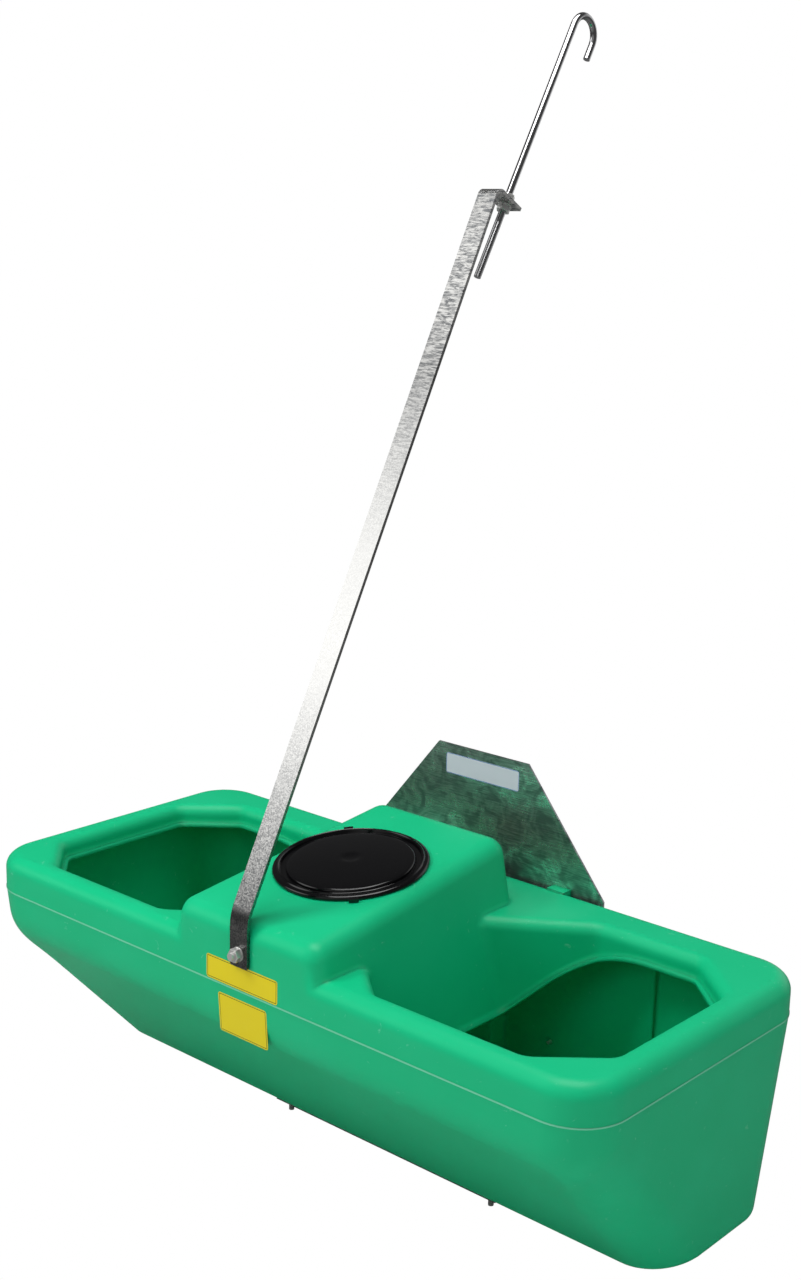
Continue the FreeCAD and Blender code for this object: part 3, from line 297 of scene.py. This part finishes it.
with_seam_highlight.inputs["B"].default_value = (*scuff_and_seam_highlight_green, 1.0)
grain = tree.nodes.new("ShaderNodeTexNoise")
grain.inputs["Scale"].default_value = 1.0 / grain_size
grain.inputs["Detail"].default_value = 2.0
softened = tree.nodes.new("ShaderNodeBevel")
softened.samples = 6
softened.inputs["Radius"].default_value = edge_softness
relief = tree.nodes.new("ShaderNodeBump")
relief.inputs["Distance"].default_value = grain_height
relief.inputs["Strength"].default_value = 0.6
tree.links.new(place.outputs["Object"], wear.inputs["Vector"])
tree.links.new(wear.outputs["Fac"], wear_amount.inputs["Value"])
tree.links.new(wear_amount.outputs["Result"], tint.inputs["Factor"])
tree.links.new(place.outputs["Object"], scuff.inputs["Vector"])
tree.links.new(scuff.outputs["Fac"], scuff_amount.inputs["Value"])
tree.links.new(scuff_amount.outputs["Result"], scuffed.inputs["Factor"])
tree.links.new(tint.outputs["Result"], scuffed.inputs["A"])
tree.links.new(place.outputs["Object"], height_of.inputs["Vector"])
tree.links.new(height_of.outputs["Z"], at_seam.inputs[0])
tree.links.new(height_of.outputs["X"], from_middle.inputs[0])
tree.links.new(from_middle.outputs["Value"], past_ends.inputs[0])
tree.links.new(height_of.outputs["Y"], past_front.inputs[0])
tree.links.new(past_ends.outputs["Value"], outside.inputs[0])
tree.links.new(past_front.outputs["Value"], outside.inputs[1])
tree.links.new(at_seam.outputs["Value"], seam_highlight_mask.inputs[0])
tree.links.new(outside.outputs["Value"], seam_highlight_mask.inputs[1])
tree.links.new(seam_highlight_mask.outputs["Value"], with_seam_highlight.inputs["Factor"])
tree.links.new(scuffed.outputs["Result"], with_seam_highlight.inputs["A"])
tree.links.new(with_seam_highlight.outputs["Result"], surface.inputs["Base Color"])
tree.links.new(place.outputs["Object"], grain.inputs["Vector"])
tree.links.new(grain.outputs["Fac"], relief.inputs["Height"])
tree.links.new(softened.outputs["Normal"], relief.inputs["Normal"])
tree.links.new(relief.outputs["Normal"], surface.inputs["Normal"])

shell = dressed("trough_shell", "shell_upper", "shell_lower", crease=35.0)
skin = bmesh.new()
skin.from_mesh(shell.data)
parting = [face for face in skin.faces if all(abs(vert.co.z) < 1e-6 for vert in face.verts)]
bmesh.ops.delete(skin, geom=parting, context="FACES")
bmesh.ops.remove_doubles(skin, verts=skin.verts, dist=2e-5)
for edge in skin.edges:
    level = all(abs(vert.co.z) < 1e-6 for vert in edge.verts)
    if level and len(edge.link_faces) == 2 and edge.calc_face_angle(0) < math.radians(20):
        edge.smooth = True
skin.to_mesh(shell.data)
skin.free()
shell.data.materials.append(shell_skin)
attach(shell, "trough")


# Support plate: folded sheet steel, hot-dip galvanised. The bath leaves broad
# cloudy spangle, and sliding against other plates leaves fine scratches.

plate_bright = (0.80, 0.82, 0.83)
plate_dull = (0.22, 0.25, 0.26)
plate_spangle = 0.03

plate_zinc = finish_of("plate_zinc", plate_bright, 0.3, 0.9)
tree = plate_zinc.node_tree
surface = tree.nodes["Principled BSDF"]
place = tree.nodes.new("ShaderNodeTexCoord")
cloud = tree.nodes.new("ShaderNodeTexNoise")
cloud.inputs["Scale"].default_value = 1.0 / plate_spangle
cloud.inputs["Detail"].default_value = 6.0
cloud.inputs["Distortion"].default_value = 1.2
stretch = tree.nodes.new("ShaderNodeMapping")
stretch.inputs["Rotation"].default_value = (0.0, 0.6, 0.0)
stretch.inputs["Scale"].default_value = (40.0, 1.0, 900.0)
scratch = tree.nodes.new("ShaderNodeTexNoise")
scratch.inputs["Scale"].default_value = 1.0
scratch.inputs["Detail"].default_value = 3.0
cross_stretch = tree.nodes.new("ShaderNodeMapping")
cross_stretch.inputs["Rotation"].default_value = (0.0, -0.9, 0.0)
cross_stretch.inputs["Scale"].default_value = (25.0, 1.0, 500.0)
cross_scratch = tree.nodes.new("ShaderNodeTexNoise")
cross_scratch.inputs["Scale"].default_value = 1.0
cross_scratch.inputs["Detail"].default_value = 4.0
marks = tree.nodes.new("ShaderNodeMath")
marks.operation = "MAXIMUM"
blend = tree.nodes.new("ShaderNodeMath")
blend.operation = "MULTIPLY"
contrast = tree.nodes.new("ShaderNodeMapRange")
contrast.inputs["From Min"].default_value = 0.2
contrast.inputs["From Max"].default_value = 0.42
tint = tree.nodes.new("ShaderNodeMix")
tint.data_type = "RGBA"
tint.inputs["A"].default_value = (*plate_dull, 1.0)
tint.inputs["B"].default_value = (*plate_bright, 1.0)
polish = tree.nodes.new("ShaderNodeMapRange")
polish.inputs["To Min"].default_value = 0.4
polish.inputs["To Max"].default_value = 0.2
relief = tree.nodes.new("ShaderNodeBump")
relief.inputs["Distance"].default_value = 0.0004
relief.inputs["Strength"].default_value = 0.3
tree.links.new(place.outputs["Object"], cloud.inputs["Vector"])
tree.links.new(place.outputs["Object"], stretch.inputs["Vector"])
tree.links.new(stretch.outputs["Vector"], scratch.inputs["Vector"])
tree.links.new(cloud.outputs["Fac"], blend.inputs[0])
tree.links.new(place.outputs["Object"], cross_stretch.inputs["Vector"])
tree.links.new(cross_stretch.outputs["Vector"], cross_scratch.inputs["Vector"])
tree.links.new(scratch.outputs["Fac"], marks.inputs[0])
tree.links.new(cross_scratch.outputs["Fac"], marks.inputs[1])
tree.links.new(marks.outputs["Value"], blend.inputs[1])
tree.links.new(blend.outputs["Value"], contrast.inputs["Value"])
tree.links.new(contrast.outputs["Result"], tint.inputs["Factor"])
tree.links.new(tint.outputs["Result"], surface.inputs["Base Color"])
tree.links.new(contrast.outputs["Result"], polish.inputs["Value"])
tree.links.new(polish.outputs["Result"], surface.inputs["Roughness"])
tree.links.new(cloud.outputs["Fac"], relief.inputs["Height"])
tree.links.new(relief.outputs["Normal"], surface.inputs["Normal"])

plate = dressed("back_plate", "support_plate")
plate.data.materials.append(plate_zinc)
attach(plate, "trough")


# Hanger strap: galvanised flat bar. Painted reflection and shade: its colour is darker
# at its foot and below its top and lighter at mid-height, where its fine speckle fades
# out into an even painted highlight. Near the top the speckle turns to streaks across it.

strap_bright = (0.88, 0.875, 0.85)
strap_dull = (0.27, 0.28, 0.29)
strap_spangle = 0.0015
# Height of the painted highlight, where the speckle fades to an even bright tone.
painted_highlight_height = 0.47
# Painted reflection and shade: levels that scale the strap's colour along its height.
painted_reflection_by_height = (
    (0.05, 0.26), (0.18, 0.56), (0.30, 0.75), (0.44, 0.80), (0.62, 0.70), (0.78, 0.52),
    (0.96, 0.98),
)

strap_zinc = finish_of("strap_zinc", strap_bright, 0.3, 1.0)
tree = strap_zinc.node_tree
surface = tree.nodes["Principled BSDF"]
place = tree.nodes.new("ShaderNodeTexCoord")
height_of = tree.nodes.new("ShaderNodeSeparateXYZ")
speckle = tree.nodes.new("ShaderNodeTexVoronoi")
speckle.inputs["Scale"].default_value = 1.0 / strap_spangle
cell_tone = tree.nodes.new("ShaderNodeSeparateColor")
stretch = tree.nodes.new("ShaderNodeMapping")
stretch.inputs["Rotation"].default_value = (0.46, 0.3, 0.0)
stretch.inputs["Scale"].default_value = (75.0, 75.0, 420.0)
streak = tree.nodes.new("ShaderNodeTexNoise")
streak.inputs["Scale"].default_value = 1.0
streak.inputs["Detail"].default_value = 6.0
streak.inputs["Distortion"].default_value = 1.0
streak_tone = tree.nodes.new("ShaderNodeMapRange")
streak_tone.inputs["From Min"].default_value = 0.38
streak_tone.inputs["From Max"].default_value = 0.60
near_top = tree.nodes.new("ShaderNodeMapRange")
near_top.inputs["From Min"].default_value = 0.55
near_top.inputs["From Max"].default_value = 0.85
near_top.inputs["To Min"].default_value = 0.1
near_top.inputs["To Max"].default_value = 1.0
pattern = tree.nodes.new("ShaderNodeMix")
off_middle = tree.nodes.new("ShaderNodeMath")
off_middle.operation = "SUBTRACT"
off_middle.inputs[1].default_value = painted_highlight_height
how_far = tree.nodes.new("ShaderNodeMath")
how_far.operation = "ABSOLUTE"
# Painted highlight: near that height the speckle pattern is pushed to an even bright tone.
painted_highlight_mask = tree.nodes.new("ShaderNodeMapRange")
painted_highlight_mask.inputs["From Min"].default_value = 0.08
painted_highlight_mask.inputs["From Max"].default_value = 0.32
painted_highlight_mask.inputs["To Min"].default_value = 0.85
painted_highlight_mask.inputs["To Max"].default_value = 0.0
pattern_under_painted_highlight = tree.nodes.new("ShaderNodeMix")
pattern_under_painted_highlight.inputs["B"].default_value = 0.85
tint = tree.nodes.new("ShaderNodeMix")
tint.data_type = "RGBA"
tint.inputs["A"].default_value = (*strap_dull, 1.0)
tint.inputs["B"].default_value = (*strap_bright, 1.0)
# Ramp of painted reflection and shade by height, multiplied into the strap's colour.
painted_reflection_ramp = tree.nodes.new("ShaderNodeValToRGB")
while len(painted_reflection_ramp.color_ramp.elements) < len(painted_reflection_by_height):
    painted_reflection_ramp.color_ramp.elements.new(0.5)
for stop, (height, painted_level) in zip(painted_reflection_ramp.color_ramp.elements, painted_reflection_by_height):
    stop.position = height
    stop.color = (painted_level, painted_level, painted_level, 1.0)
with_painted_reflection = tree.nodes.new("ShaderNodeVectorMath")
with_painted_reflection.operation = "MULTIPLY"
polish = tree.nodes.new("ShaderNodeMapRange")
polish.inputs["To Min"].default_value = 0.34
polish.inputs["To Max"].default_value = 0.22
tree.links.new(place.outputs["Object"], height_of.inputs["Vector"])
tree.links.new(place.outputs["Object"], speckle.inputs["Vector"])
tree.links.new(speckle.outputs["Color"], cell_tone.inputs["Color"])
tree.links.new(place.outputs["Object"], stretch.inputs["Vector"])
tree.links.new(stretch.outputs["Vector"], streak.inputs["Vector"])
tree.links.new(streak.outputs["Fac"], streak_tone.inputs["Value"])
tree.links.new(height_of.outputs["Z"], near_top.inputs["Value"])
tree.links.new(near_top.outputs["Result"], pattern.inputs["Factor"])
tree.links.new(cell_tone.outputs["Red"], pattern.inputs["A"])
tree.links.new(streak_tone.outputs["Result"], pattern.inputs["B"])
tree.links.new(height_of.outputs["Z"], off_middle.inputs[0])
tree.links.new(off_middle.outputs["Value"], how_far.inputs[0])
tree.links.new(how_far.outputs["Value"], painted_highlight_mask.inputs["Value"])
tree.links.new(painted_highlight_mask.outputs["Result"], pattern_under_painted_highlight.inputs["Factor"])
tree.links.new(pattern.outputs["Result"], pattern_under_painted_highlight.inputs["A"])
tree.links.new(pattern_under_painted_highlight.outputs["Result"], tint.inputs["Factor"])
tree.links.new(height_of.outputs["Z"], painted_reflection_ramp.inputs["Fac"])
tree.links.new(tint.outputs["Result"], with_painted_reflection.inputs[0])
tree.links.new(painted_reflection_ramp.outputs["Color"], with_painted_reflection.inputs[1])
tree.links.new(with_painted_reflection.outputs["Vector"], surface.inputs["Base Color"])
tree.links.new(pattern_under_painted_highlight.outputs["Result"], polish.inputs["Value"])
tree.links.new(polish.outputs["Result"], surface.inputs["Roughness"])

strap = dressed("flat_bar", "hanger_strap")
rounded = strap.modifiers.new("rounded", "BEVEL")
rounded.width = 0.0006
rounded.segments = 2
rounded.limit_method = "ANGLE"
strap.data.materials.append(strap_zinc)
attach(strap, "strap")


# Hook rod: bright zinc-plated round bar, bent into an open hook, with a rolled
# thread from its lower end to a little above the strap's flange.

thread_pitch = 0.0015
thread_height = 0.00005
thread_top = 0.975
rod_lean = math.radians(29.6)

rod_zinc = finish_of("rod_zinc", (0.60, 0.60, 0.61), 0.1, 1.0)
tree = rod_zinc.node_tree
surface = tree.nodes["Principled BSDF"]
place = tree.nodes.new("ShaderNodeTexCoord")
upright = tree.nodes.new("ShaderNodeMapping")
upright.inputs["Rotation"].default_value = (rod_lean, 0.0, 0.0)
along = tree.nodes.new("ShaderNodeSeparateXYZ")
turns = tree.nodes.new("ShaderNodeMath")
turns.operation = "MULTIPLY"
turns.inputs[1].default_value = 2 * math.pi / thread_pitch
wave = tree.nodes.new("ShaderNodeMath")
wave.operation = "SINE"
height_of = tree.nodes.new("ShaderNodeSeparateXYZ")
threaded = tree.nodes.new("ShaderNodeMath")
threaded.operation = "LESS_THAN"
threaded.inputs[1].default_value = thread_top
ridge = tree.nodes.new("ShaderNodeMath")
ridge.operation = "MULTIPLY"
relief = tree.nodes.new("ShaderNodeBump")
relief.inputs["Distance"].default_value = thread_height
relief.inputs["Strength"].default_value = 0.8
tree.links.new(place.outputs["Object"], upright.inputs["Vector"])
tree.links.new(upright.outputs["Vector"], along.inputs["Vector"])
tree.links.new(along.outputs["Z"], turns.inputs[0])
tree.links.new(turns.outputs["Value"], wave.inputs[0])
tree.links.new(place.outputs["Object"], height_of.inputs["Vector"])
tree.links.new(height_of.outputs["Z"], threaded.inputs[0])
tree.links.new(wave.outputs["Value"], ridge.inputs[0])
tree.links.new(threaded.outputs["Value"], ridge.inputs[1])
tree.links.new(ridge.outputs["Value"], relief.inputs["Height"])
tree.links.new(relief.outputs["Normal"], surface.inputs["Normal"])

rod = dressed("plated_hook", "hook_rod", crease=50.0)
rod.modifiers.clear()
rod.data.materials.append(rod_zinc)
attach(rod, "hook")


# Bolts, nuts and washers: small zinc-plated hardware with broken edges.

fastener_break = 0.0005

fastener_zinc = finish_of("fastener_zinc", (0.80, 0.80, 0.78), 0.28, 0.8)
for node, body in (
    ("strap_bolt", "trough"), ("strap_washer", "trough"), ("strap_nut", "trough"),
    ("rod_nut_upper", "upper_nut"), ("rod_nut_lower", "lower_nut"),
    ("rod_washer_upper", "strap"), ("rod_washer_lower", "strap"),
    ("foot_bolts", "trough"), ("foot_bolt_nuts", "trough"), ("rib_screws", "trough"),
):
    fastener = dressed(node + "_plated", node)
    broken = fastener.modifiers.new("broken", "BEVEL")
    broken.width = fastener_break
    broken.segments = 2
    broken.limit_method = "ANGLE"
    broken.angle_limit = math.radians(40)
    fastener.data.materials.append(fastener_zinc)
    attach(fastener, body)


# Inspection cover ring: black moulded ring that carries the lid. Its flange
# steps up to a rolled bead, and two small tabs stick out of it.

cover_place = (
    Matrix.Translation((0, -0.2805, 0.11943)) @ Matrix.Rotation(math.radians(7.4), 4, "X")
)
tab_size = (0.011, 0.013, 0.004, 1.0)
tab_middle = (0.1080, 0.0, 0.0035)
tab_turns = (-45, 135)
ring_profile = [
    (84.3, -16), (88, -16), (88, 1.5), (107.5, 1.5), (107.5, 3.6), (106.6, 5.2), (104.8, 6.4),
    (102.5, 6.9), (101.3, 7.0), (100.6, 8.2), (99.4, 8.9), (98.2, 8.3), (97.4, 6.8), (96.9, 4.6),
    (96.0, 2.9), (94.5, 2.5), (84.3, 2.5),
]


def spun(name, profile, closed):
    """Mesh of a profile of radius and height in millimetres, spun in the cover's place."""
    mesh = bpy.data.meshes.new(name)
    shape = bmesh.new()
    verts = [shape.verts.new((radius / 1000, 0, height / 1000)) for radius, height in profile]
    edges = [shape.edges.new(pair) for pair in zip(verts, verts[1:])]
    if closed:
        edges.append(shape.edges.new((verts[-1], verts[0])))
    bmesh.ops.spin(shape, geom=verts + edges, axis=(0, 0, 1), cent=(0, 0, 0), steps=128,
                   angle=math.tau, use_merge=True)
    bmesh.ops.remove_doubles(shape, verts=shape.verts, dist=1e-6)
    bmesh.ops.recalc_face_normals(shape, faces=shape.faces)
    bmesh.ops.transform(shape, matrix=cover_place, verts=shape.verts)
    for face in shape.faces:
        face.smooth = True
    for edge in shape.edges:
        edge.smooth = edge.calc_face_angle(0) < math.radians(40)
    shape.to_mesh(mesh)
    shape.free()
    piece = bpy.data.objects.new(name, mesh)
    scene.collection.objects.link(piece)
    return piece


cover_black = finish_of("cover_black", (0.0025, 0.0025, 0.003), 0.12)
ring = spun("cover_seat", ring_profile, True)
rim = bmesh.new()
rim.from_mesh(ring.data)
for turn in tab_turns:
    tab_place = Matrix.Rotation(math.radians(turn), 4, "Z") @ Matrix.Translation(tab_middle)
    bmesh.ops.create_cube(rim, size=1.0, matrix=cover_place @ tab_place @ Matrix.Diagonal(tab_size))
rim.to_mesh(ring.data)
rim.free()
ring.data.materials.append(cover_black)
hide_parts("cover_ring")
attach(ring, "trough")


# Inspection lid: shallow black dome with a round dimple in the middle and a
# skirt that stands in the ring.

lid_profile = [
    (0, 10.5), (5, 10.6), (9, 11.1), (12, 12.0), (15, 12.5), (20, 12.4), (40, 11.6), (60, 10.3),
    (76, 8.9), (84, 7.9), (86.6, 7.3), (88.2, 6.0), (88.8, 4.2), (89, 2.5), (84, 2.5),
    (84, -9.5), (80, -9.5), (80, 2.0), (60, 5.4), (14, 8.5), (0, 5.2),
]
lid = spun("domed_lid", lid_profile, False)
lid.data.materials.append(cover_black)
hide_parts("cover_lid")
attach(lid, "lid")


# Labels: glossy printed film, bare but for a thin border, with cut corners.

label_gloss = 0.45
label_corner = 0.004
label_line = 0.0009


def cut_corners(piece, size):
    """Trim the four corners of a flat label that stands across x."""
    sheet = bmesh.new()
    sheet.from_mesh(piece.data)
    places = [vert.co.copy() for vert in sheet.verts]
    low_x, high_x = min(at.x for at in places), max(at.x for at in places)
    low_z, high_z = min(at.z for at in places), max(at.z for at in places)
    for corner_x, out_x in ((low_x, -1), (high_x, 1)):
        for corner_z, out_z in ((low_z, -1), (high_z, 1)):
            for across, up in ((1.0, 0.42), (1.0, 1.0), (0.42, 1.0)):
                normal = Vector((out_x * across, 0, out_z * up)).normalized()
                centre = Vector((corner_x - out_x * size, 0, corner_z - out_z * size))
                everything = sheet.verts[:] + sheet.edges[:] + sheet.faces[:]
                bmesh.ops.bisect_plane(sheet, geom=everything, plane_co=centre + normal * size,
                                       plane_no=normal, clear_outer=True)
    holes = [edge for edge in sheet.edges if len(edge.link_faces) == 1]
    bmesh.ops.holes_fill(sheet, edges=holes)
    sheet.to_mesh(piece.data)
    sheet.free()


def bordered(name, film, line, low, high, inset):
    """Film in one colour with a fine line of another that runs round inside its edge."""
    paint = finish_of(name, film, label_gloss)
    tree = paint.node_tree
    surface = tree.nodes["Principled BSDF"]
    surface.inputs["Specular IOR Level"].default_value = 0.25
    place = tree.nodes.new("ShaderNodeTexCoord")
    split = tree.nodes.new("ShaderNodeSeparateXYZ")
    to_edge = tree.nodes.new("ShaderNodeMath")
    to_edge.operation = "MINIMUM"
    tree.links.new(place.outputs["Object"], split.inputs["Vector"])
    for slot_number, (axis, number) in enumerate((("X", 0), ("Z", 2))):
        moved = tree.nodes.new("ShaderNodeMath")
        moved.operation = "SUBTRACT"
        moved.inputs[1].default_value = (low[number] + high[number]) / 2
        size = tree.nodes.new("ShaderNodeMath")
        size.operation = "ABSOLUTE"
        left_over = tree.nodes.new("ShaderNodeMath")
        left_over.operation = "SUBTRACT"
        left_over.inputs[0].default_value = (high[number] - low[number]) / 2
        tree.links.new(split.outputs[axis], moved.inputs[0])
        tree.links.new(moved.outputs["Value"], size.inputs[0])
        tree.links.new(size.outputs["Value"], left_over.inputs[1])
        tree.links.new(left_over.outputs["Value"], to_edge.inputs[slot_number])
    on_line = tree.nodes.new("ShaderNodeMath")
    on_line.operation = "COMPARE"
    on_line.inputs[1].default_value = inset
    on_line.inputs[2].default_value = label_line / 2
    tint = tree.nodes.new("ShaderNodeMix")
    tint.data_type = "RGBA"
    tint.inputs["A"].default_value = (*film, 1.0)
    tint.inputs["B"].default_value = (*line, 1.0)
    tree.links.new(to_edge.outputs["Value"], on_line.inputs[0])
    tree.links.new(on_line.outputs["Value"], tint.inputs["Factor"])
    tree.links.new(tint.outputs["Result"], surface.inputs["Base Color"])
    return paint


yellow = (0.70, 0.57, 0.006)
line_green = (0.05, 0.09, 0.02)
label_white = (0.60, 0.63, 0.70)
label_blue = (0.10, 0.22, 0.50)

for name, node, slot, film, line, inset in (
    ("upper_front_film", "front_label_upper", "yellow_label", yellow, line_green, 0.0022),
    ("lower_front_film", "front_label_lower", "yellow_label", yellow, line_green, 0.0022),
    ("plate_film", "plate_label", "white_label", label_white, label_blue, 0.0006),
):
    label = dressed(name, node)
    cut_corners(label, label_corner)
    label.data.materials.append(bordered(name + "_print", film, line, *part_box(node), inset))
    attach(label, "trough")


# Float valve, seals and drain: hidden or half hidden in the trough, so they
# keep the plain shapes of their solids.

inside_finishes = {
    "brass": finish_of("valve_brass", (0.72, 0.50, 0.20), 0.3, 1.0),
    "white_plastic": finish_of("float_white", (0.75, 0.75, 0.70), 0.45),
    "black_rubber": finish_of("seal_rubber", (0.012, 0.012, 0.012), 0.6),
    "black_plastic": finish_of("drain_black", (0.012, 0.012, 0.013), 0.4),
    "zinc": fastener_zinc,
}
for node, slot, body in (
    ("valve_body", "brass", "trough"), ("inlet_lock_nut", "brass", "trough"),
    ("inlet_seal_inner", "black_rubber", "trough"), ("inlet_seal_outer", "black_rubber", "trough"),
    ("cover_seal", "black_rubber", "trough"), ("foot_bolt_seals", "black_rubber", "trough"),
    ("strap_bolt_seal", "black_rubber", "trough"), ("drain_seal", "black_rubber", "trough"),
    ("drain_bush", "black_plastic", "trough"), ("drain_nut", "black_plastic", "trough"),
    ("drain_cap", "black_plastic", "drain_closure"), ("plunger_pad", "black_rubber", "plunger"),
    ("valve_plunger", "white_plastic", "plunger"), ("float_arm", "white_plastic", "float_lever"),
    ("float_ball", "white_plastic", "float_lever"), ("float_nut", "brass", "float_lever"),
    ("pivot_pin", "zinc", "trough"),
):
    piece = dressed(node + "_fitted", node)
    piece.data.materials.append(inside_finishes[slot])
    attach(piece, body)
